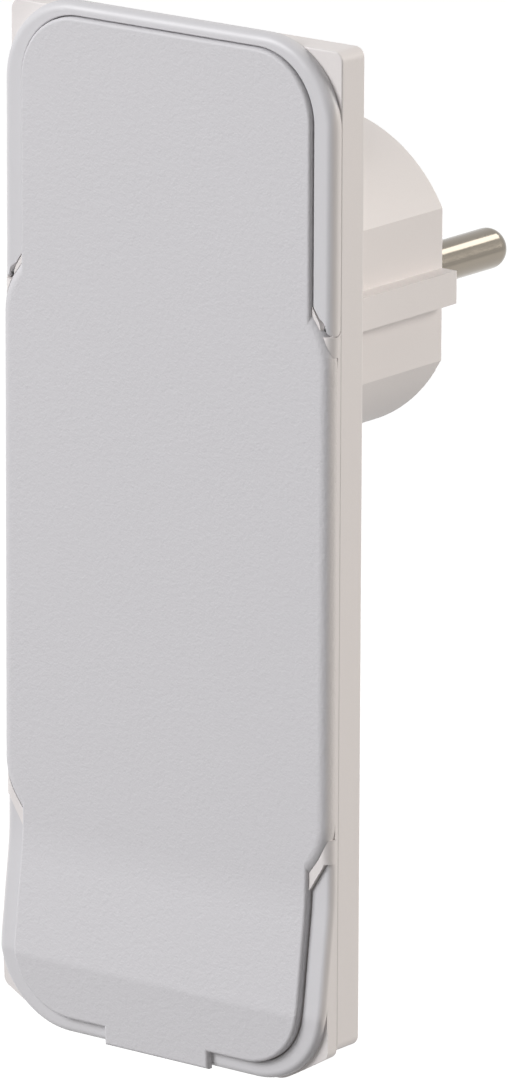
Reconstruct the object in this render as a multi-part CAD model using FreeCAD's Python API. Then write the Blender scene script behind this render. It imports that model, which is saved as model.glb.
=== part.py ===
import FreeCAD, Part
import math
import os

# Extra-flat mains plug, in millimetres.
# The origin lies midway between the two contact pins, on the nose's contact face.
# +Y runs along the pins towards the socket, +X to the right seen from the front, +Z up.

# Contact pins and earth contacts
pin_diameter = 4.8
pin_length = 19.0
pin_pitch = 19.0
pin_tip_round = 1.9
pin_root_diameter = 5.6
pin_collar_diameter = 7.2
pin_collar_thickness = 1.6
earth_hole_height = 10.0
earth_hole_diameter = 4.9
earth_strip_width = 6.8
earth_strip_thickness = 0.6
earth_strip_crown = 0.9

# Nose that enters the socket's recess
nose_diameter = 37.0
nose_flats = 32.5
nose_depth = 24.3
nose_wall = 1.8
nose_face_wall = 2.4
nose_edge_round = 0.5
rib_width = 3.85
rib_span = 36.65
strip_window_start = 1.2
strip_window_end = 14.6
strip_sink = 1.25

# Rear housing, the plate behind the seam
plate_width = 47.0
rear_thickness = 4.2
rear_top = 32.4
rear_bottom = -82.7
rear_corner = 1.2
rear_edge_round = 0.35
seam_round = 0.2
rear_skin = 1.2
rear_end_wall = 1.6
rear_side_wall = 3.2
rear_hollow_corner = 8.0

# Front housing, the frame before the seam
flange_thickness = 0.5
frame_bottom = -86.6
frame_corner_height = -82.8
frame_corner_width = 17.0
frame_corner_round = 4.0
frame_window_margin = 2.1
frame_window_top = 21.0
frame_window_corner = 3.0
rim_sink = 0.45
upper_rim_bottom = -2.0
lower_rim_top = -57.5
lower_rim_bottom = -63.6

# Pull bow, end bow and front panel
bow_thickness = 1.5
end_bow_thickness = 0.95
end_bow_sink = 0.9
bow_top = 33.5
bow_bottom = -86.85
bow_corner = 10.0
bow_side_width = 2.8
bow_top_width = 1.58
bow_end_width = 1.89
bow_edge_round = 1.1
end_bow_round = 0.8
bow_groove_round = 0.2
end_bow_top = -60.3
cover_thickness = 1.0
cover_gap = 0.12
panel_proud = 0.5
panel_corner = 7.8
panel_edge_round = 1.4
panel_groove_round = 0.4
skirt_width = 1.3
upper_shoulder = 3.2
lower_shoulder = -62.25
shoulder_run = 3.9
shoulder_round = 8.0
shoulder_overlap = 2.0
leg_gap = 0.4
end_gap = 0.8
tongue_width = 15.0
tongue_bottom = -86.95
panel_rib_height = 0.9
panel_rib_width = 0.9
panel_rib_margin = 2.0
panel_rib_columns = (-8.9, 0, 8.9)
panel_rib_rows = (-50, -30, -10, 10)
panel_rib_top = 18.0
panel_rib_bottom = -60.0

# Bulge of the front over the cable outlet
bulge_start = -65.0
ridge_height = -78.2
ridge_proud = 1.67
bottom_proud = 1.15
bulge_blend = 30.0
ridge_blend = 3.0
profile_run = 10.0

# Bow hinge
hinge_height = 1.2
knuckle_width = 1.0
pivot_diameter = 0.8
pivot_length = 2.2
pivot_skin = 0.55
pivot_clearance = 0.03
swing_gap = 0.1
swing_angle = 90

# Cable inlet and strain relief
inlet_diameter = 4.8
inlet_skin = 0.5
inlet_collar_half_width = 6.5
clamp_height = -78.0
clamp_length = 3.6
clamp_strap = 0.7
clamp_squeeze = 0.25
clamp_screw_spacing = 12.4
clamp_screw_diameter = 2.0
clamp_head_diameter = 3.6
clamp_head_height = 1.1
clamp_boss_diameter = 3.8
channel_top = -66.0
channel_width = 7.0

# Terminals inside the nose
block_width = 6.6
block_height = 8.0
block_depth = 9.0
wire_hole_diameter = 2.6
wire_hole_depth = 4.6
terminal_screw_diameter = 3.0
terminal_head_diameter = 5.2
terminal_head_height = 1.6
terminal_head_rise = 1.0
slot_width = 0.7
slot_share = 0.45
earth_block_height = 7.0
earth_block_depth = 6.2
earth_terminal_height = -7.5
insert_depth = 10.1
lid_skirt_depth = 4.4
lid_thickness = 1.0
lid_skirt = 0.8
lid_cut_height = -9.0
sleeve_wall = 0.75
sleeve_pad_width = 1.0

# Screws between the housings
joint_screw_diameter = 2.0
joint_head_diameter = 3.4
joint_head_height = 0.6
joint_shank_length = 3.0
joint_boss_diameter = 4.0
joint_screw_inset = 5.0
joint_screw_heights = (25.0, -15.0, -61.5)
peg_diameter = 1.8
peg_length = 0.85
peg_heights = (12.0, -38.0, -53.0)

# Running and fitting clearances
fit = 0.05
assembly_gap = 0.15

# How far a cutting body passes what it cuts, and the slack of the tests that pick edges
cut_margin = 1.0
same_point = 1e-6
same_plane = 1e-4
near_side = 0.01
near_arc = 0.05
front_slant = 0.7

# Places worked out from the sizes above
half_plate = plate_width / 2
rear_face = -nose_depth
seam = rear_face - rear_thickness
front = seam - bow_thickness
panel_front = front - panel_proud
ledge = panel_front + cover_thickness
skirt_depth = seam - flange_thickness - panel_front
rear_floor = rear_face - rear_skin
nose_radius = nose_diameter / 2
panel_narrow = half_plate - bow_side_width - cover_gap
panel_top = bow_top - bow_top_width - cover_gap
panel_bottom = bow_bottom + bow_end_width + cover_gap
inlet_radius = inlet_diameter / 2
inlet_axis = rear_face - inlet_skin - inlet_radius
knuckle_radius = (bow_thickness - fit) / 2
hinge_axis = front + knuckle_radius
joint_screw_place = half_plate - joint_screw_inset
frame_window_half_width = joint_screw_place - frame_window_margin
frame_window_bottom = rear_bottom + rear_end_wall
far_front = panel_front - ridge_proud - cut_margin


def vector(x, y, z):
    return FreeCAD.Vector(x, y, z)


def rounded_loop(corners, place):
    """Closed wire through (u, v, radius) corners, with a tangent arc at each radius above zero."""
    count = len(corners)
    spans = []
    for index in range(count):
        u, v, radius = corners[index]
        before = corners[index - 1]
        after = corners[(index + 1) % count]
        corner = vector(u, v, 0)
        to_before = (vector(before[0], before[1], 0) - corner).normalize()
        to_after = (vector(after[0], after[1], 0) - corner).normalize()
        if radius <= 0:
            spans.append((corner, None, corner))
            continue
        bisector = (to_before + to_after).normalize()
        half_angle = to_before.getAngle(to_after) / 2
        reach = radius / math.tan(half_angle)
        centre = corner + bisector * (radius / math.sin(half_angle))
        middle = centre - bisector * radius
        spans.append((corner + to_before * reach, middle, corner + to_after * reach))
    edges = []
    for index in range(count):
        start, middle, end = spans[index]
        following = spans[(index + 1) % count][0]
        if middle is not None:
            arc = Part.Arc(place(start.x, start.y), place(middle.x, middle.y), place(end.x, end.y))
            edges.append(arc.toShape())
        if end.distanceToPoint(following) > same_point:
            line = Part.LineSegment(place(end.x, end.y), place(following.x, following.y))
            edges.append(line.toShape())
    return Part.Wire(edges)


def plate(corners, near, far):
    """Flat body with an outline in X and Z, from one Y to another."""
    wire = rounded_loop(corners, lambda u, v: vector(u, near, v))
    return Part.Face(wire).extrude(vector(0, far - near, 0))


def mirrored(right_half):
    """Closed outline from its right half, which runs from the top to the bottom."""
    left_half = [(-x, z, radius) for x, z, radius in reversed(right_half)]
    return right_half + left_half


def block(low, high):
    """Box between two opposite corners."""
    size = [b - a for a, b in zip(low, high)]
    return Part.makeBox(size[0], size[1], size[2], vector(*low))


def rod_y(radius, near, far, x, z):
    """Cylinder along Y."""
    return Part.makeCylinder(radius, far - near, vector(x, near, z), vector(0, 1, 0))


def rod_x(radius, near, far, y, z):
    """Cylinder along X."""
    return Part.makeCylinder(radius, far - near, vector(near, y, z), vector(1, 0, 0))


def rod_z(radius, low, high, x, y):
    """Cylinder along Z."""
    return Part.makeCylinder(radius, high - low, vector(x, y, low), vector(0, 0, 1))


def bulge_band(offset, depth):
    """Slab that follows the panel's side profile, from offset behind its front to depth behind it."""
    above = bow_top + profile_run
    below = bow_bottom - profile_run
    slope = (ridge_proud - bottom_proud) / (ridge_height - bow_bottom)
    end_proud = bottom_proud - slope * (bow_bottom - below)
    back = [(0, above), (0, bulge_start), (-ridge_proud, ridge_height), (-end_proud, below)]
    blends = [0, bulge_blend, ridge_blend, 0]
    face = [(panel_front + offset + y, z, blend) for (y, z), blend in zip(back, blends)]
    rear = [(y + depth - offset, z, blend) for y, z, blend in reversed(face)]
    wire = rounded_loop(face + rear, lambda u, v: vector(-plate_width, u, v))
    return Part.Face(wire).extrude(vector(2 * plate_width, 0, 0))


def behind_front(offset):
    """Everything behind the panel's side profile, up to the rear face."""
    return bulge_band(offset, rear_face - panel_front + ridge_proud)


def bow_outline():
    """Rounded rectangle of the bows."""
    return mirrored([(half_plate, bow_top, bow_corner), (half_plate, bow_bottom, bow_corner)])


def core_outline(grow):
    """Rounded rectangle of the panel between the bows, grown by a margin."""
    half = panel_narrow + grow
    radius = panel_corner + grow
    return mirrored([(half, panel_top + grow, radius), (half, panel_bottom - grow, radius)])


def middle_outline(grow):
    """Wide middle of the panel with its shoulders, which run on into the core."""
    wide = half_plate + min(grow, 0)
    slope = shoulder_run / (half_plate - panel_narrow)
    inner = panel_narrow + grow - shoulder_overlap
    high = upper_shoulder + grow
    low = lower_shoulder - grow
    return mirrored([
        (inner, high + shoulder_overlap * slope, 0),
        (wide, high - shoulder_run, shoulder_round),
        (wide, low + shoulder_run, shoulder_round),
        (inner, low - shoulder_overlap * slope, 0),
    ])


def slab(outline):
    """Flat body with an outline, through the full depth of the front."""
    return plate(outline, far_front, seam)


def panel_room(core_grow, middle_grow):
    """Room for the panel without its tongue, grown by one margin beside the bows and one at the shoulders."""
    return slab(core_outline(core_grow)).fuse(slab(middle_outline(middle_grow)))


def panel_middle(grow, depth):
    """The wide middle as a body with its rounded edge, grown by a margin."""
    body = slab(middle_outline(grow)).common(bulge_band(-grow, depth))
    inner_x = panel_narrow - shoulder_overlap
    return rounded_front(body, panel_edge_round + grow, lambda point: abs(point.x) > inner_x)


def between_heights(shape, low, high):
    """The part of a shape between two heights."""
    return shape.common(block((-half_plate, far_front, low), (half_plate, rear_face, high)))


def nose_outline(inset, near, far):
    """Round body with a flat on either side."""
    body = rod_y(nose_radius - inset, near, far, 0, 0)
    flat = nose_flats / 2 - inset
    return body.common(block((-flat, near, -nose_radius), (flat, far, nose_radius)))


def rounded_edges(solid, radius, wanted):
    """Rounds the edges that a test picks out."""
    edges = [edge for edge in solid.Edges if wanted(edge)]
    return solid.makeFillet(radius, edges)


def lies_at_y(edge, place):
    """True for an edge that lies wholly in the plane at one Y."""
    return all(abs(edge.valueAt(t).y - place) < same_plane for t in
               (edge.FirstParameter, (edge.FirstParameter + edge.LastParameter) / 2, edge.LastParameter))


def faces_front(face):
    """True for a face whose middle looks towards the front."""
    u, v = face.Surface.parameter(face.CenterOfMass)
    return face.normalAt(u, v).y < -front_slant


def rounded_front(solid, radius, wanted):
    """Rounds the edges of the front faces whose middle point passes a test."""
    facing = [face for face in solid.Faces if faces_front(face)]
    edges = []
    for edge in solid.Edges:
        owners = [face for face in facing if any(edge.isSame(other) for other in face.Edges)]
        middle = edge.valueAt((edge.FirstParameter + edge.LastParameter) / 2)
        if len(owners) == 1 and wanted(middle):
            edges.append(edge)
    return solid.makeFillet(radius, edges)


def on_bow_edge(point):
    """True for a point of the bows' outer edge."""
    corner_x = half_plate - bow_corner
    if abs(point.x) > half_plate - near_side:
        return True
    if not bow_bottom + near_side < point.z < bow_top - near_side:
        return True
    high = point.z > bow_top - bow_corner
    low = point.z < bow_bottom + bow_corner
    corner_z = bow_top - bow_corner if high else bow_bottom + bow_corner
    reach = math.hypot(abs(point.x) - corner_x, point.z - corner_z)
    return (high or low) and abs(point.x) > corner_x and reach > bow_corner - near_arc


def both_sides(shape):
    """The shape and its mirror image across the middle plane."""
    return [shape, shape.mirror(vector(0, 0, 0), vector(1, 0, 0))]


def cable_channel():
    """Round inlet through the end wall and a square trough from there to the clamp and beyond."""
    inlet = rod_z(inlet_radius, frame_bottom - cut_margin, frame_window_bottom, 0, inlet_axis)
    trough = block((-channel_width / 2, seam, frame_window_bottom),
                   (channel_width / 2, inlet_axis + inlet_radius, channel_top))
    return [inlet, trough]


def strip_windows():
    """Windows through the top and bottom of the nose for the earth strips."""
    half = earth_strip_width / 2 + assembly_gap
    inner = math.sqrt((nose_radius - nose_wall) ** 2 - half ** 2)
    top = block((-half, -strip_window_end, inner - fit),
                (half, -strip_window_start, nose_radius + cut_margin))
    return [top, top.mirror(vector(0, 0, 0), vector(0, 0, 1))]


def rear_housing():
    """Plate and hollow nose, moulded in one, open towards the seam."""
    corners = mirrored([
        (half_plate, rear_top, rear_corner),
        (half_plate, rear_bottom, rear_corner),
        (inlet_collar_half_width, rear_bottom, 0),
        (inlet_collar_half_width, frame_bottom, rear_corner),
    ])
    body = plate(corners, seam, rear_face)
    body = rounded_edges(body, rear_edge_round, lambda edge: lies_at_y(edge, rear_face))
    body = rounded_edges(body, seam_round, lambda edge: lies_at_y(edge, seam))
    nose = nose_outline(0, rear_floor, 0)
    rib = block((-rib_span / 2, rear_floor, -rib_width / 2), (rib_span / 2, 0, rib_width / 2))
    nose = nose.fuse(rib).removeSplitter()
    nose = rounded_edges(nose, nose_edge_round, lambda edge: lies_at_y(edge, 0))
    body = body.fuse(nose)
    inside = mirrored([
        (half_plate - rear_side_wall, rear_top - rear_end_wall, rear_hollow_corner),
        (half_plate - rear_side_wall, frame_window_bottom, rear_corner),
    ])
    body = body.cut(plate(inside, seam, rear_floor))
    body = body.cut(nose_outline(nose_wall, rear_floor, -nose_face_wall))
    for place in joint_screw_heights:
        boss = rod_y(joint_boss_diameter / 2, seam, rear_floor, joint_screw_place, place)
        body = body.fuse(both_sides(boss))
    clamp_boss = rod_y(clamp_boss_diameter / 2, inlet_axis, rear_floor,
                       clamp_screw_spacing / 2, clamp_height)
    body = body.fuse(both_sides(clamp_boss))
    for place in joint_screw_heights:
        hole = rod_y(joint_screw_diameter / 2 + fit, seam, rear_floor - fit, joint_screw_place, place)
        body = body.cut(both_sides(hole))
    hole = rod_y(clamp_screw_diameter / 2 + fit, inlet_axis, rear_floor - fit,
                 clamp_screw_spacing / 2, clamp_height)
    body = body.cut(both_sides(hole))
    body = body.cut(cable_channel())
    pin_hole = rod_y(pin_root_diameter / 2 + fit, -nose_face_wall, 0, pin_pitch / 2, 0)
    body = body.cut(both_sides(pin_hole))
    body = body.cut(rod_y(earth_hole_diameter / 2, -nose_face_wall, 0, 0, earth_hole_height))
    return body.cut(strip_windows()).removeSplitter()


def knuckle_room():
    """Space for the bow's feet to turn in, dished beside them for the legs' slanted ends."""
    start = half_plate - knuckle_width - swing_gap
    reach = knuckle_radius + swing_gap
    end = half_plate + cut_margin
    room = rod_x(reach, start, end, hinge_axis, hinge_height)
    corner = block((start, far_front, hinge_height - reach), (end, hinge_axis, hinge_height))
    top = upper_shoulder + leg_gap
    leg = block((panel_narrow, hinge_axis, hinge_height), (start, seam, top))
    leg = leg.cut(slab(middle_outline(leg_gap - swing_gap)))
    profile = min(leg.Faces, key=lambda face: face.CenterOfMass.y)
    dish = profile.revolve(vector(0, hinge_axis, hinge_height), vector(1, 0, 0), 2 * swing_angle)
    dish = dish.common(block((0, far_front, hinge_height - reach), (start, hinge_axis, top)))
    return both_sides(room.fuse([corner, dish]))


def bearing_holes():
    """Round holes that the pivot pins turn in."""
    outer_end = half_plate - knuckle_width
    inner_end = pivot_outer_end() - pivot_length - fit
    hole = rod_x(pivot_diameter / 2 + pivot_clearance, inner_end, outer_end, hinge_axis, hinge_height)
    return both_sides(hole)


def notch_rims():
    """Raised edges of the frame that fill the notches between the panel's shoulders and the bows."""
    outline = slab(bow_outline()).common(behind_front(rim_sink))
    outline = rounded_front(outline, bow_edge_round, on_bow_edge)
    upper = between_heights(slab(middle_outline(leg_gap - swing_gap)), hinge_height, upper_shoulder + leg_gap)
    upper = upper.fuse(between_heights(slab(bow_outline()), upper_rim_bottom, hinge_height))
    lower = between_heights(slab(middle_outline(end_gap)), lower_rim_bottom, end_bow_top)
    lower = lower.fuse(between_heights(slab(bow_outline()), end_bow_top, lower_rim_top))
    rims = upper.fuse(lower).common(outline)
    return rims.cut(slab(core_outline(fit))).cut(panel_middle(fit, seam - far_front))


def front_housing():
    """Frame between the rear housing and the covers, thicker where the front bulges."""
    below_cover = behind_front(cover_thickness)
    body = slab(core_outline(0)).common(below_cover)
    body = body.fuse(slab(middle_outline(-skirt_width)).common(below_cover))
    sides = mirrored([(half_plate, hinge_height - knuckle_radius - swing_gap, 0),
                      (half_plate, end_bow_top, 0)])
    body = body.fuse(slab(sides).common(behind_front(skirt_depth)))
    cable_end = mirrored([
        (half_plate, end_bow_top, 0),
        (half_plate, frame_corner_height, rear_corner),
        (frame_corner_width, frame_bottom, frame_corner_round),
    ])
    body = body.fuse(slab(cable_end).common(behind_front(end_bow_sink + end_bow_thickness)))
    body = body.fuse(notch_rims())
    window = mirrored([
        (frame_window_half_width, frame_window_top, frame_window_corner),
        (frame_window_half_width, frame_window_bottom, frame_window_corner),
    ])
    body = body.cut(slab(window))
    for place in joint_screw_heights:
        head = rod_y(joint_head_diameter / 2 + fit, panel_front, ledge + joint_head_height,
                     joint_screw_place, place)
        shank = rod_y(joint_screw_diameter / 2 + fit, panel_front, seam, joint_screw_place, place)
        body = body.cut(both_sides(head.fuse(shank)))
    for place in peg_heights:
        hole = rod_y(peg_diameter / 2 + fit, panel_front, seam, joint_screw_place, place)
        body = body.cut(both_sides(hole))
    body = body.cut(rod_z(inlet_radius, frame_bottom - cut_margin, frame_window_bottom, 0, inlet_axis))
    return body.cut(knuckle_room()).cut(bearing_holes()).removeSplitter()


def front_panel():
    """Textured cover with its shoulders, skirt, ribs, pegs and the tongue over the end bow."""
    band = bulge_band(0, cover_thickness)
    core = slab(core_outline(0)).common(band)
    core = rounded_front(core, panel_groove_round, lambda point: True)
    half = tongue_width / 2
    root = ridge_height - ridge_blend
    tongue = block((-half, far_front, tongue_bottom), (half, seam, root)).common(band)
    tongue = rounded_front(tongue, panel_groove_round, lambda point: point.z < root)
    strap_room = block((-half, far_front, tongue_bottom), (half, seam, panel_bottom))
    tongue = tongue.cut(strap_room.common(behind_front(end_bow_sink - fit)))
    body = core.fuse([panel_middle(0, skirt_depth), tongue])
    raised = panel_room(fit, fit - skirt_width).common(behind_front(cover_thickness))
    body = body.cut(raised)
    half = panel_rib_width / 2
    back = ledge + panel_rib_height
    reach = frame_window_half_width - panel_rib_margin
    ribs = [block((x - half, ledge, panel_rib_bottom), (x + half, back, panel_rib_top))
            for x in panel_rib_columns]
    ribs += [block((-reach, ledge, z - half), (reach, back, z + half)) for z in panel_rib_rows]
    body = body.fuse(ribs)
    for place in peg_heights:
        peg = rod_y(peg_diameter / 2, ledge, ledge + peg_length, joint_screw_place, place)
        body = body.fuse(both_sides(peg))
    return body.cut(bearing_holes()).removeSplitter()


def pull_bow():
    """U-shaped handle round the top of the panel, its rounded feet clear of the panel when open."""
    back = seam - fit
    body = plate(bow_outline(), front, back).cut(panel_room(cover_gap, leg_gap))
    body = between_heights(body, hinge_height - knuckle_radius, bow_top)
    body = rounded_front(body, bow_edge_round, on_bow_edge)
    inner_start = upper_shoulder + leg_gap
    body = rounded_front(body, bow_groove_round,
                         lambda point: not on_bow_edge(point) and point.z > inner_start)
    legs = between_heights(body, hinge_height, bow_top)
    start = half_plate - knuckle_width
    foot = rod_x(knuckle_radius, start, half_plate, hinge_axis, hinge_height)
    feet = [side.common(body) for side in both_sides(foot)]
    body = legs.fuse(feet)
    room = panel_middle(swing_gap, skirt_depth)
    room.rotate(vector(0, hinge_axis, hinge_height), vector(1, 0, 0), -swing_angle)
    body = body.cut(room)
    outer = pivot_outer_end()
    hole = rod_x(pivot_diameter / 2, outer - pivot_length, outer, hinge_axis, hinge_height)
    return body.cut(both_sides(hole)).removeSplitter()


def end_bow():
    """U-shaped frame round the cable end of the panel, held down by the panel's tongue."""
    body = between_heights(slab(bow_outline()), bow_bottom, end_bow_top)
    body = body.common(behind_front(end_bow_sink)).cut(panel_room(cover_gap, end_gap + cover_gap / 2))
    body = rounded_front(body, end_bow_round, on_bow_edge)
    groove_top = lower_shoulder - end_gap
    body = rounded_front(body, bow_groove_round,
                         lambda point: not on_bow_edge(point) and point.z < groove_top)
    return body.common(bulge_band(end_bow_sink, end_bow_sink + end_bow_thickness))


def pivot_outer_end():
    """X of the right pivot pin's outer end, under the skin of the bow's foot."""
    return half_plate - pivot_skin


def pivot_pin(side):
    """Steel pin pressed into a knuckle and turning in its bearing."""
    outer = pivot_outer_end()
    pin = rod_x(pivot_diameter / 2, outer - pivot_length, outer, hinge_axis, hinge_height)
    return both_sides(pin)[0 if side > 0 else 1]


def contact_pin(side):
    """Contact pin with its collar and its terminal block."""
    place = side * pin_pitch / 2
    body = rod_y(pin_diameter / 2, 0, pin_length, place, 0)
    body = rounded_edges(body, pin_tip_round, lambda edge: lies_at_y(edge, pin_length))
    collar_back = -nose_face_wall - pin_collar_thickness
    root = rod_y(pin_root_diameter / 2, -nose_face_wall, 0, place, 0)
    collar = rod_y(pin_collar_diameter / 2, collar_back, -nose_face_wall, place, 0)
    terminal = block((place - block_width / 2, collar_back - block_depth, -block_height / 2),
                     (place + block_width / 2, collar_back, block_height / 2))
    body = body.fuse([root, collar, terminal])
    wire_y = collar_back - wire_hole_depth
    body = body.cut(rod_z(wire_hole_diameter / 2, -block_height, block_height, place, wire_y))
    thread = rod_y(terminal_screw_diameter / 2 + fit, collar_back - block_depth, wire_y, place, 0)
    return body.cut(thread).removeSplitter()


def slotted_screw(x, z, head_face, head_diameter, head_height, shank_diameter, tip):
    """Screw along Y, driven from the front, with a slot across its head."""
    head = rod_y(head_diameter / 2, head_face, head_face + head_height, x, z)
    shank = rod_y(shank_diameter / 2, head_face + head_height, tip, x, z)
    slot = block((x - head_diameter, head_face, z - slot_width / 2),
                 (x + head_diameter, head_face + head_height * slot_share, z + slot_width / 2))
    return head.fuse(shank).cut(slot).removeSplitter()


def terminal_screw(side):
    """Screw that clamps a wire in its contact pin's block."""
    block_back = -nose_face_wall - pin_collar_thickness - block_depth
    wire_front = block_back + block_depth - wire_hole_depth - wire_hole_diameter / 2
    head_face = block_back - terminal_head_rise - terminal_head_height
    return slotted_screw(side * pin_pitch / 2, 0, head_face, terminal_head_diameter, terminal_head_height,
                         terminal_screw_diameter, wire_front)


def insert_back():
    """Y of the contact insert's open side."""
    return -nose_face_wall - insert_depth


def contact_insert():
    """Insulating block that carries the pins, the earth sleeve and the earth terminal."""
    body = nose_outline(nose_wall + fit, insert_back(), -nose_face_wall)
    collar_back = -nose_face_wall - pin_collar_thickness
    half = block_width / 2 + fit
    tall = block_height / 2 + fit
    pocket = block((pin_pitch / 2 - half, insert_back(), -tall), (pin_pitch / 2 + half, collar_back, tall))
    collar = rod_y(pin_collar_diameter / 2 + fit, collar_back, -nose_face_wall, pin_pitch / 2, 0)
    wire_y = collar_back - wire_hole_depth
    wire = block((pin_pitch / 2 - wire_hole_diameter / 2, insert_back(), -nose_radius),
                 (pin_pitch / 2 + wire_hole_diameter / 2, wire_y + wire_hole_diameter / 2, 0))
    body = body.cut(both_sides(pocket)).cut(both_sides(collar)).cut(both_sides(wire))
    sleeve = rod_y(earth_hole_diameter / 2 + sleeve_wall + fit, insert_back(), -nose_face_wall,
                   0, earth_hole_height)
    body = body.cut(sleeve)
    front_y = bridge_front() + earth_strip_thickness + earth_block_depth + fit
    tall = earth_block_height / 2 + fit
    earth_pocket = block((-half, insert_back(), earth_terminal_height - tall),
                         (half, front_y, earth_terminal_height + tall))
    earth_wire = block((-wire_hole_diameter / 2, insert_back(), -nose_radius),
                       (wire_hole_diameter / 2, earth_wire_y() + wire_hole_diameter / 2, 0))
    return body.cut([earth_pocket, earth_wire]).removeSplitter()


def bridge_front():
    """Y of the earth bridge's front side."""
    return -strip_window_end + assembly_gap


def earth_wire_y():
    """Y of the earth wire's hole."""
    return bridge_front() + earth_strip_thickness + earth_block_depth / 2


def earth_bracket():
    """Sprung strips along the nose's top and bottom, joined by a bridge behind the contact insert."""
    half = earth_strip_width / 2
    floor = nose_radius - strip_sink
    start = bridge_front()
    back = start + earth_strip_thickness
    end = -strip_window_start - assembly_gap
    middle = (start + end) / 2
    crown = floor + earth_strip_thickness + earth_strip_crown
    top = floor + earth_strip_thickness
    outer_arc = Part.Arc(vector(-half, start, top), vector(-half, middle, crown), vector(-half, end, top))
    inner_arc = Part.Arc(vector(-half, end, floor), vector(-half, middle, crown - earth_strip_thickness),
                         vector(-half, back, floor))
    corners = [(end, floor), (back, floor), (back, 0), (start, 0), (start, top)]
    points = [vector(-half, y, z) for y, z in corners]
    tip = Part.LineSegment(vector(-half, end, top), points[0])
    bends = [Part.LineSegment(a, b).toShape() for a, b in zip(points[1:], points[2:])]
    edges = [outer_arc.toShape(), tip.toShape(), inner_arc.toShape()] + bends
    upper = Part.Face(Part.Wire(edges)).extrude(vector(earth_strip_width, 0, 0))
    body = upper.fuse(upper.mirror(vector(0, 0, 0), vector(0, 0, 1)))
    past = (start - cut_margin, back + cut_margin)
    radius = earth_hole_diameter / 2 + sleeve_wall
    sleeve = rod_y(radius + fit, *past, 0, earth_hole_height)
    pad = rod_y(radius + sleeve_pad_width, start, back, 0, earth_hole_height)
    screw = rod_y(terminal_screw_diameter / 2 + fit, *past, 0, earth_terminal_height)
    return body.fuse(pad).cut([sleeve, screw]).removeSplitter()


def earth_sleeve():
    """Socket for the earth pin of sockets that have one."""
    outer = earth_hole_diameter / 2 + sleeve_wall
    start = bridge_front()
    body = rod_y(outer, start, -nose_face_wall, 0, earth_hole_height)
    return body.cut(rod_y(earth_hole_diameter / 2, start, -nose_face_wall, 0, earth_hole_height))


def earth_terminal():
    """Block that the earth wire is clamped in, under the bridge."""
    back = bridge_front() + earth_strip_thickness
    half = block_width / 2
    tall = earth_block_height / 2
    body = block((-half, back, earth_terminal_height - tall),
                 (half, back + earth_block_depth, earth_terminal_height + tall))
    wire = rod_z(wire_hole_diameter / 2, earth_terminal_height - earth_block_height,
                 earth_terminal_height + earth_block_height, 0, earth_wire_y())
    thread = rod_y(terminal_screw_diameter / 2 + fit, back, earth_wire_y(), 0, earth_terminal_height)
    return body.cut([wire, thread])


def earth_screw():
    """Screw that clamps the earth wire and holds the terminal to the bridge."""
    head_face = bridge_front() - terminal_head_height
    tip = earth_wire_y() - wire_hole_diameter / 2
    return slotted_screw(0, earth_terminal_height, head_face, terminal_head_diameter, terminal_head_height,
                         terminal_screw_diameter, tip)


def terminal_lid():
    """Insulating cap over the terminals, open at the bottom for the wires."""
    seat = insert_back()
    top = seat - lid_skirt_depth - lid_thickness
    body = nose_outline(nose_wall + fit, top, seat)
    body = body.cut(nose_outline(nose_wall + fit + lid_skirt, seat - lid_skirt_depth, seat))
    body = body.cut(block((-nose_radius, top, -nose_radius), (nose_radius, seat, lid_cut_height)))
    half = earth_strip_width / 2 + assembly_gap
    notch = block((-half, bridge_front() - assembly_gap, 0), (half, seat, nose_radius))
    return body.cut(notch).removeSplitter()


def cable_clamp():
    """Arched strap that presses the cable into its channel."""
    low = clamp_height - clamp_length / 2
    high = clamp_height + clamp_length / 2
    inner = inlet_radius - clamp_squeeze
    outer = inner + clamp_strap
    foot = clamp_screw_spacing / 2 + clamp_boss_diameter / 2
    arch = rod_z(outer, low, high, 0, inlet_axis)
    feet = block((-foot, inlet_axis - clamp_strap, low), (foot, inlet_axis, high))
    body = arch.common(block((-outer, inlet_axis - outer, low), (outer, inlet_axis, high))).fuse(feet)
    body = body.cut(rod_z(inner, low, high, 0, inlet_axis))
    hole = rod_y(clamp_screw_diameter / 2 + fit, inlet_axis - clamp_strap, inlet_axis,
                 clamp_screw_spacing / 2, clamp_height)
    return body.cut(both_sides(hole)).removeSplitter()


def clamp_screws():
    """Pair of screws through the clamp's feet."""
    head_face = inlet_axis - clamp_strap - clamp_head_height
    tip = rear_floor - assembly_gap
    screws = [slotted_screw(side * clamp_screw_spacing / 2, clamp_height, head_face, clamp_head_diameter,
                            clamp_head_height, clamp_screw_diameter, tip) for side in (-1, 1)]
    return Part.makeCompound(screws)


def housing_screws():
    """Screws that join the front housing to the rear one, under the panel."""
    screws = []
    for place in joint_screw_heights:
        for side in (-1, 1):
            tip = ledge + joint_head_height + joint_shank_length
            screws.append(slotted_screw(side * joint_screw_place, place, ledge, joint_head_diameter,
                                        joint_head_height, joint_screw_diameter, tip))
    return Part.makeCompound(screws)


def all_parts():
    """Every node of the plug under its own name."""
    return {
        "rear_housing": rear_housing(),
        "front_housing": front_housing(),
        "front_panel": front_panel(),
        "pull_bow": pull_bow(),
        "end_bow": end_bow(),
        "bow_pivot_left": pivot_pin(-1),
        "bow_pivot_right": pivot_pin(1),
        "contact_pin_left": contact_pin(-1),
        "contact_pin_right": contact_pin(1),
        "terminal_screw_left": terminal_screw(-1),
        "terminal_screw_right": terminal_screw(1),
        "contact_insert": contact_insert(),
        "terminal_lid": terminal_lid(),
        "earth_bracket": earth_bracket(),
        "earth_sleeve": earth_sleeve(),
        "earth_terminal": earth_terminal(),
        "earth_screw": earth_screw(),
        "cable_clamp": cable_clamp(),
        "clamp_screws": clamp_screws(),
        "housing_screws": housing_screws(),
    }


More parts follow.
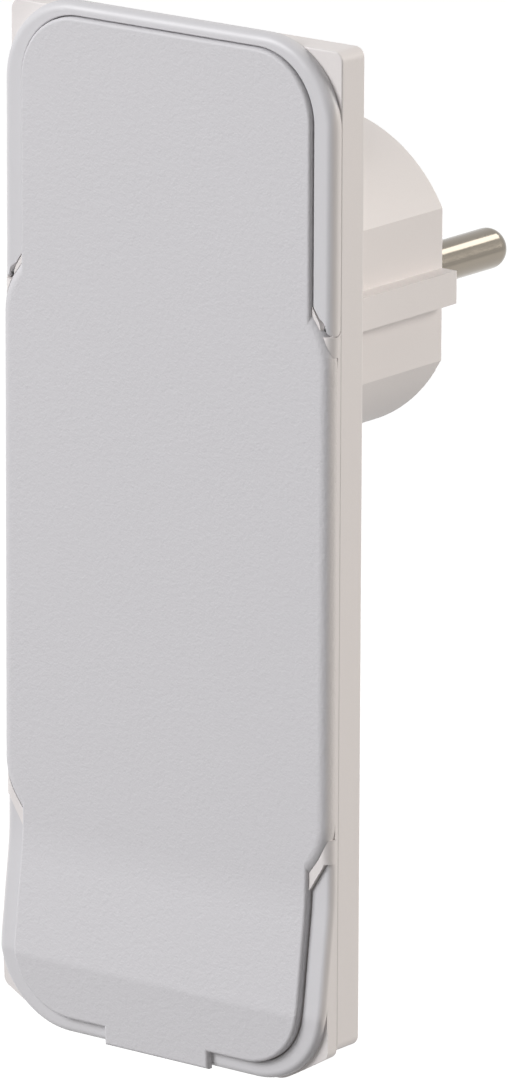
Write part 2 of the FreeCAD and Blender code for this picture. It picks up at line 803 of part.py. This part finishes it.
def main():
    os.makedirs("parts", exist_ok=True)
    for name, shape in all_parts().items():
        solids = shape.Solids
        print(name, len(solids), "solids", round(shape.Volume, 2), "valid", shape.isValid())
        result = solids[0] if len(solids) == 1 else Part.makeCompound(solids)
        result.exportStep(os.path.join("parts", name + ".step"))


if __name__ == "__main__":
    main()
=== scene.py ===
"""Looks of the flat mains plug: its plastics, its metals, and the studio it stands in."""

import math

import bpy
import numpy as np
from bpy.props import FloatProperty, FloatVectorProperty, PointerProperty
from bpy.types import Operator, Panel, PropertyGroup
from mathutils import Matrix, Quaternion, Vector


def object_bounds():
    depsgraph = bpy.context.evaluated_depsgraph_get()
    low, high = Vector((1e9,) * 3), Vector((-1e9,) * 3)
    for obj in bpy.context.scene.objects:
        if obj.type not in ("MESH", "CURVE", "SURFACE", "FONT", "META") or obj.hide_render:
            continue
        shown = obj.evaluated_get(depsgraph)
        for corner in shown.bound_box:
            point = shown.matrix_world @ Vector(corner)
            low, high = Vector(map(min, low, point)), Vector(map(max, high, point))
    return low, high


bl_info = {
    "name": "Flat Mains Plug",
    "version": (1, 0, 0),
    "blender": (4, 5, 0),
    "location": "3D View > Sidebar > Flat Plug",
    "description": "Finishes a flat mains plug and sets up its studio",
    "category": "Object",
}

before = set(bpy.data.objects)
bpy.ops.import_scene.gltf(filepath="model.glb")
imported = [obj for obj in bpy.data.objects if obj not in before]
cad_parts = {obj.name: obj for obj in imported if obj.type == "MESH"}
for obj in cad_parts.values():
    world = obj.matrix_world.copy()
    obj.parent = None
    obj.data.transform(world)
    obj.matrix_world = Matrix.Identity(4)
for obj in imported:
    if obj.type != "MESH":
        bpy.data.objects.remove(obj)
cad_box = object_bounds()

# Photograph: its height, and the focal length of its camera, both in pixels
PHOTO_HEIGHT = 1087.0
FOCAL_LENGTH = 10507.0
SENSOR_HEIGHT = 24.0

# Middle of the plug, which the lamps face, and their distance from it, in metres
LAMP_TARGET = Vector((0.0, -0.02, -0.026))
LAMP_DISTANCE = 1.5

# Lamps: name, level, azimuth and elevation in degrees, width in metres, colour
LAMPS = (
    ("key light", "key_level", -34.0, 28.0, 0.7, (0.985, 0.985, 1.0)),
    ("side light", "side_level", 125.0, 22.0, 0.7, (1.0, 0.96, 0.915)),
    ("fill light", "fill_level", 48.0, 5.0, 0.9, (1.0, 0.93, 0.86)),
    ("top light", "top_level", 60.0, 80.0, 1.0, (1.0, 0.99, 0.97)),
    ("back light", "back_level", 166.0, 38.5, 0.45, (1.0, 0.99, 0.97)),
)

# Floor: radius in metres, grey of its surface, and the glow that the camera sees
FLOOR_RADIUS = 8.0
FLOOR_GREY = 0.3
FLOOR_GLOW = 0.92

# Plastics: spread of tone, and where the painted warm side light on the side walls starts and how soon it
# is full, in metres
TONE_SPREAD = 0.035
PAINTED_SIDE_LIGHT_START = 0.0229
PAINTED_SIDE_LIGHT_BLEND = 0.0004


class Shade:
    """A shader socket that Python's arithmetic signs work on, one Math node for each sign."""

    def __init__(self, finish, socket):
        self.finish = finish
        self.socket = socket

    def _math(self, operation, first, second):
        return self.finish.node("ShaderNodeMath", {"operation": operation}, {0: first, 1: second})[0]

    def __add__(self, other):
        return self._math("ADD", self, other)

    __radd__ = __add__

    def __sub__(self, other):
        return self._math("SUBTRACT", self, other)

    def __mul__(self, other):
        return self._math("MULTIPLY", self, other)

    def at_least(self, other):
        return self._math("MAXIMUM", self, other)

    def at_most(self, other):
        return self._math("MINIMUM", self, other)

    def without_sign(self):
        return self._math("ABSOLUTE", self, 0.0)


class Finish:
    """A node tree under construction. Works on a material or on the world."""

    def __init__(self, owner):
        owner.use_nodes = True
        self.owner = owner
        self.nodes = owner.node_tree.nodes
        self.links = owner.node_tree.links
        self.nodes.clear()

    def node(self, kind, settings=None, inputs=None):
        """Adds a node, sets it up, feeds its sockets, and returns its outputs by number or name."""
        node = self.nodes.new(kind)
        for name, value in (settings or {}).items():
            setattr(node, name, value)
        for name, value in (inputs or {}).items():
            if isinstance(value, Shade):
                self.links.new(value.socket, node.inputs[name])
            else:
                node.inputs[name].default_value = value
        return Outputs(self, node)

    def beyond(self, place, start, width):
        """Rises from 0 to 1 over a width, from a distance out to the left or right of the middle."""
        across = self.node("ShaderNodeSeparateXYZ", None, {"Vector": place})["X"]
        return ((across.without_sign() - start) * (1.0 / width)).at_least(0.0).at_most(1.0)

    def blend(self, factor, low, high):
        """Colour between two colours."""
        mix = self.node("ShaderNodeMix", {"data_type": "RGBA"}, {0: factor, 6: low, 7: high})
        return mix[2]

    def place(self):
        """Object coordinates, in metres."""
        return self.node("ShaderNodeTexCoord")["Object"]

    def stretched(self, place, x=1.0, y=1.0, z=1.0):
        """Coordinates scaled along each axis."""
        return self.node("ShaderNodeMapping", None, {"Vector": place, "Scale": (x, y, z)})[0]

    def noise(self, place, size, detail=2.0, roughness=0.5):
        """Noise from 0 to 1 whose lumps are about size metres across."""
        inputs = {"Vector": place, "Scale": 1.0 / size, "Detail": detail, "Roughness": roughness}
        return self.node("ShaderNodeTexNoise", None, inputs)[0]

    def bump(self, height, distance):
        """Surface normal of a relief that is distance metres high."""
        inputs = {"Height": height, "Distance": distance, "Strength": 1.0}
        return self.node("ShaderNodeBump", None, inputs)[0]

    def seen_directly(self):
        """1 for rays from the camera, from reflections and through clear things, otherwise 0."""
        rays = self.node("ShaderNodeLightPath")
        return rays["Is Camera Ray"].at_least(rays["Is Glossy Ray"]).at_least(rays["Is Transmission Ray"])

    def surface(self, shader):
        """Ends the tree with a shader."""
        target = "World" if isinstance(self.owner, bpy.types.World) else "Material"
        self.node("ShaderNodeOutput" + target, None, {"Surface": shader})


class Outputs:
    """The outputs of one node, by number or name."""

    def __init__(self, finish, node):
        self.finish = finish
        self.node = node

    def __getitem__(self, name):
        return Shade(self.finish, self.node.outputs[name])


def tinted(colour, factor):
    """A colour made lighter or darker, with full cover."""
    return tuple(min(1.0, part * factor) for part in colour) + (1.0,)


def moulded_plastic(name, colour, roughness, grain, grain_height, painted_side_light=None):
    """Plastic with lumps grain metres across, a faint drift of tone, and a colour painted on its side walls
    as warm side light.
    """
    material = bpy.data.materials.new(name)
    finish = Finish(material)
    place = finish.place()
    lumps = finish.noise(place, grain, 3.0, 0.6)
    pits = finish.noise(place, grain * 0.4, 1.0, 0.5)
    drift = finish.noise(place, 0.03, 2.0, 0.5)
    tone = (lumps * 0.5 + pits * 0.2 + drift * 0.3).at_most(1.0)
    wear = finish.noise(place, 0.006, 4.0, 0.65)
    base = finish.blend(tone, tinted(colour, 1.0 - TONE_SPREAD), tinted(colour, 1.0 + TONE_SPREAD))
    # Side walls out past the start take the given colour as painted warm side light.
    if painted_side_light is not None:
        base = finish.blend(finish.beyond(place, PAINTED_SIDE_LIGHT_START, PAINTED_SIDE_LIGHT_BLEND), base, tinted(painted_side_light, 1.0))
    shader = finish.node("ShaderNodeBsdfPrincipled", None, {
        "Base Color": base,
        "Roughness": roughness + (wear - 0.5) * 0.12,
        "Normal": finish.bump(lumps * 0.7 + pits * 0.3, grain_height),
        "IOR": 1.5,
    })
    finish.surface(shader[0])
    return material


def plated_metal(name, colour, roughness, stretch=(1.0, 1.0, 1.0)):
    """Metal with fine working marks drawn out along one axis, and a faint stain."""
    material = bpy.data.materials.new(name)
    finish = Finish(material)
    place = finish.place()
    marks = finish.noise(finish.stretched(place, *stretch), 0.0004, 3.0, 0.6)
    stain = finish.noise(place, 0.004, 3.0, 0.55)
    shader = finish.node("ShaderNodeBsdfPrincipled", None, {
        "Base Color": finish.blend(stain, tinted(colour, 0.92), tinted(colour, 1.05)),
        "Roughness": roughness + (marks - 0.5) * 0.1 + (stain - 0.5) * 0.08,
        "Normal": finish.bump(marks, 0.000004),
        "Metallic": 1.0,
    })
    finish.surface(shader[0])
    return material


def dress(material, *nodes):
    """Gives a material to the nodes that the frame brought."""
    for node in nodes:
        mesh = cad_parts[node].data
        mesh.materials.clear()
        mesh.materials.append(material)


def direction(azimuth, elevation):
    """Unit vector from the plug towards an azimuth (0 in front, 90 at its right) and an elevation."""
    a = math.radians(azimuth)
    e = math.radians(elevation)
    return Vector((math.sin(a) * math.cos(e), -math.cos(a) * math.cos(e), math.sin(e)))


def colour_property(name, description, default):
    """Setting that holds a colour."""
    return FloatVectorProperty(name=name, description=description, default=default, subtype="COLOR",
                               size=3, min=0.0, max=1.0)


def length_property(name, description, default, digits=4):
    """Setting that holds a length in metres."""
    return FloatProperty(name=name, description=description, default=default, subtype="DISTANCE",
                         unit="LENGTH", precision=digits)


def angle_property(name, description, degrees):
    """Setting that holds an angle."""
    return FloatProperty(name=name, description=description, default=math.radians(degrees), subtype="ANGLE")


def level_property(name, description, default):
    """Setting that holds a level of light, 0 or more."""
    return FloatProperty(name=name, description=description, default=default, min=0.0)


class PlugPlastics(PropertyGroup):
    # The shell colour is also painted on the side walls of the panel and bows as warm side light.
    shell: colour_property("Shell", "Colour of both housings and of all side walls", (0.80, 0.76, 0.745))
    cover: colour_property("Cover", "Colour of the textured panel", (0.655, 0.643, 0.66))
    bow: colour_property("Bows", "Colour of the two bows", (0.665, 0.655, 0.67))
    insert: colour_property("Insert", "Colour of the insulating pieces inside", (0.6, 0.6, 0.58))
    grain: length_property("Grain", "Width of the panel's grain", 0.0006, 5)
    grain_height: length_property("Grain height", "Depth of the panel's grain", 0.00008, 6)


class PlugMetals(PropertyGroup):
    nickel: colour_property("Nickel", "Colour of the contact pins and earth strips", (0.27, 0.24, 0.20))
    brass: colour_property("Brass", "Colour of the bare brass pieces", (0.60, 0.42, 0.16))
    steel: colour_property("Steel", "Colour of the zinc-plated screws and clamp", (0.55, 0.55, 0.55))
    pivot: colour_property("Pivots", "Colour of the bow's blackened hinge pins", (0.12, 0.12, 0.12))
    polish: level_property("Pin roughness", "Roughness of the contact pins", 0.15)


class PlugStudio(PropertyGroup):
    azimuth: angle_property("Azimuth", "Where the camera stands, 90 at the plug's right", 37.95)
    elevation: angle_property("Elevation", "How far above the plug the camera stands", 14.79)
    roll: angle_property("Roll", "How far the camera leans", 0.22)
    distance: length_property("Distance", "From the pins' face to the camera", 1.1967)
    frame_right: length_property("Right", "How far the view's centre lies to the right", -0.00857, 5)
    frame_up: length_property("Up", "How far the view's centre lies upwards", -0.03194, 5)
    key_level: level_property("Key light", "Light from the front left", 0.91)
    side_level: level_property("Side light", "Warm light from the right", 0.66)
    fill_level: level_property("Fill light", "Weak light from the front right", 0.04)
    top_level: level_property("Top light", "Light from above", 0.035)
    back_level: level_property("Back light", "Small light whose streak shows in the pins", 0.1)
    ambient: level_property("Ambient", "Light from all round", 0.155)
    floor_depth: length_property("Floor", "How far below the plug the floor lies", 0.22)


class PLUG_OT_shells(Operator):
    """Finish the two housings in fine matt plastic"""

    bl_idname = "plug.shells"
    bl_label = "Housings"

    def execute(self, context):
        colours = context.scene.plug_plastics
        shell = moulded_plastic("shell plastic", colours.shell, 0.5, 0.0003, 0.000006)
        dress(shell, "rear_housing", "front_housing")
        return {"FINISHED"}


class PLUG_OT_cover(Operator):
    """Finish the front panel in eroded plastic"""

    bl_idname = "plug.cover"
    bl_label = "Front panel"

    def execute(self, context):
        colours = context.scene.plug_plastics
        # The shell colour goes on the panel's side walls as painted warm side light.
        cover = moulded_plastic("cover plastic", colours.cover, 0.55, colours.grain, colours.grain_height,
                                colours.shell)
        dress(cover, "front_panel")
        return {"FINISHED"}


class PLUG_OT_bows(Operator):
    """Finish the pull bow and the end bow in smooth plastic"""

    bl_idname = "plug.bows"
    bl_label = "Bows"

    def execute(self, context):
        colours = context.scene.plug_plastics
        # The shell colour goes on the bows' side walls as painted warm side light.
        bow = moulded_plastic("bow plastic", colours.bow, 0.42, 0.0004, 0.000003, colours.shell)
        dress(bow, "pull_bow", "end_bow")
        return {"FINISHED"}


class PLUG_OT_contacts(Operator):
    """Finish the contact pins and the earth strips in nickel plate"""

    bl_idname = "plug.contacts"
    bl_label = "Contacts"

    def execute(self, context):
        metals = context.scene.plug_metals
        pins = plated_metal("pin nickel", metals.nickel, metals.polish, (1.0, 0.08, 1.0))
        dress(pins, "contact_pin_left", "contact_pin_right")
        strips = plated_metal("strip nickel", metals.nickel, metals.polish + 0.12, (1.0, 0.1, 1.0))
        dress(strips, "earth_bracket")
        brass = plated_metal("bare brass", metals.brass, 0.28, (1.0, 0.3, 1.0))
        dress(brass, "earth_sleeve", "earth_terminal")
        return {"FINISHED"}


class PLUG_OT_inner(Operator):
    """Finish the pieces inside: insert, lid, clamp, pivots and screws"""

    bl_idname = "plug.inner"
    bl_label = "Inner pieces"

    def execute(self, context):
        colours = context.scene.plug_plastics
        metals = context.scene.plug_metals
        insert = moulded_plastic("insert plastic", colours.insert, 0.45, 0.0006, 0.000005)
        dress(insert, "contact_insert", "terminal_lid")
        steel = plated_metal("plated steel", metals.steel, 0.3)
        dress(steel, "terminal_screw_left", "terminal_screw_right", "earth_screw", "cable_clamp",
              "clamp_screws", "housing_screws")
        pivots = plated_metal("dark steel", metals.pivot, 0.45)
        dress(pivots, "bow_pivot_left", "bow_pivot_right")
        return {"FINISHED"}


def floor_disc(radius, height):
    """Flat disc: x = r cos t, y = r sin t, z = height, for r from 0 to radius and t round the circle."""
    rings = np.linspace(0.0, radius, 9)[1:]
    angles = np.linspace(0.0, 2.0 * math.pi, 64, endpoint=False)
    r, t = np.meshgrid(rings, angles, indexing="ij")
    points = np.stack([r * np.cos(t), r * np.sin(t), np.full_like(r, height)], axis=-1).reshape(-1, 3)
    points = np.vstack([points, [[0.0, 0.0, height]]])
    count = len(angles)
    near = np.arange(count)
    after = np.roll(near, -1)
    faces = [np.stack([np.full(count, len(points) - 1), near, after], axis=1).tolist()]
    for ring in range(len(rings) - 1):
        low = ring * count
        quads = np.stack([low + near, low + count + near, low + count + after, low + after], axis=1)
        faces.append(quads.tolist())
    mesh = bpy.data.meshes.new("floor")
    mesh.from_pydata(points.tolist(), [], [face for group in faces for face in group])
    mesh.update()
    return bpy.data.objects.new("floor", mesh)


def floor_material():
    """Pale floor that looks white and keeps a soft shadow, and can be seen through from below."""
    material = bpy.data.materials.new("pale floor")
    finish = Finish(material)
    pale = finish.node("ShaderNodeBsdfDiffuse", None, {"Color": tinted((1.0, 1.0, 1.0), FLOOR_GREY)})
    glow = finish.node("ShaderNodeEmission", None, {"Color": (1.0, 1.0, 1.0, 1.0), "Strength": FLOOR_GLOW})
    lit = finish.node("ShaderNodeAddShader", None, {0: pale[0], 1: glow[0]})
    upper = finish.node("ShaderNodeMixShader", None, {0: finish.seen_directly(), 1: pale[0], 2: lit[0]})
    clear = finish.node("ShaderNodeBsdfTransparent")
    under = finish.node("ShaderNodeNewGeometry")["Backfacing"]
    finish.surface(finish.node("ShaderNodeMixShader", None, {0: under, 1: upper[0], 2: clear[0]})[0])
    return material


def white_world(ambient):
    """World that the camera and reflections see as white, and that lights the plug at the ambient level."""
    world = bpy.data.worlds.new("studio")
    finish = Finish(world)
    strength = finish.seen_directly() * (1.0 - ambient) + ambient
    light = finish.node("ShaderNodeBackground", None, {"Color": (1.0, 1.0, 1.0, 1.0), "Strength": strength})
    finish.surface(light[0])
    return world


def soft_light(name, level, azimuth, elevation, width, colour):
    """Square lamp facing the plug. A level of 1 shows a facing surface in its written colour."""
    lamp = bpy.data.lights.new(name, "AREA")
    lamp.shape = "SQUARE"
    lamp.size = width
    lamp.energy = level * (math.pi * LAMP_DISTANCE) ** 2
    lamp.color = colour
    obj = bpy.data.objects.new(name, lamp)
    away = direction(azimuth, elevation)
    obj.location = LAMP_TARGET + away * LAMP_DISTANCE
    obj.rotation_euler = away.to_track_quat("Z", "Y").to_euler()
    bpy.context.scene.collection.objects.link(obj)


class PLUG_OT_stage(Operator):
    """Set up the camera, the lamps, the world and the floor"""

    bl_idname = "plug.stage"
    bl_label = "Studio"

    def execute(self, context):
        studio = context.scene.plug_studio
        scene = context.scene
        scene.view_settings.view_transform = "Standard"
        away = direction(math.degrees(studio.azimuth), math.degrees(studio.elevation))
        turned = away.to_track_quat("Z", "Y") @ Quaternion((0.0, 0.0, 1.0), studio.roll)
        lens = bpy.data.cameras.new("camera")
        lens.sensor_fit = "VERTICAL"
        lens.sensor_height = SENSOR_HEIGHT
        lens.lens = SENSOR_HEIGHT * FOCAL_LENGTH / PHOTO_HEIGHT
        lens.clip_end = 100.0
        camera = bpy.data.objects.new("camera", lens)
        camera.location = turned @ Vector((studio.frame_right, studio.frame_up, studio.distance))
        camera.rotation_euler = turned.to_euler()
        scene.collection.objects.link(camera)
        scene.camera = camera
        for name, level, azimuth, elevation, width, colour in LAMPS:
            soft_light(name, getattr(studio, level), azimuth, elevation, width, colour)
        scene.world = white_world(studio.ambient)
        floor = floor_disc(FLOOR_RADIUS, cad_box[0][2] - studio.floor_depth)
        floor.data.materials.append(floor_material())
        scene.collection.objects.link(floor)
        return {"FINISHED"}


class PLUG_PT_panel(Panel):
    """Sizes, colours and steps of the flat plug"""

    bl_idname = "PLUG_PT_panel"
    bl_label = "Flat Plug"
    bl_space_type = "VIEW_3D"
    bl_region_type = "UI"
    bl_category = "Flat Plug"

    def draw(self, context):
        for group in (context.scene.plug_plastics, context.scene.plug_metals, context.scene.plug_studio):
            box = self.layout.box()
            for name in group.__annotations__:
                box.prop(group, name)
        for step in STEPS:
            self.layout.operator(step.bl_idname)


STEPS = (PLUG_OT_stage, PLUG_OT_shells, PLUG_OT_cover, PLUG_OT_bows, PLUG_OT_contacts, PLUG_OT_inner)
GROUPS = {"plug_plastics": PlugPlastics, "plug_metals": PlugMetals, "plug_studio": PlugStudio}


def register():
    for cls in (*GROUPS.values(), *STEPS, PLUG_PT_panel):
        bpy.utils.register_class(cls)
    for name, group in GROUPS.items():
        setattr(bpy.types.Scene, name, PointerProperty(type=group))


def unregister():
    for name in GROUPS:
        delattr(bpy.types.Scene, name)
    for cls in reversed((*GROUPS.values(), *STEPS, PLUG_PT_panel)):
        bpy.utils.unregister_class(cls)


def main():
    register()
    for step in STEPS:
        space, name = step.bl_idname.split(".")
        getattr(getattr(bpy.ops, space), name)()


if __name__ == "__main__":
    main()
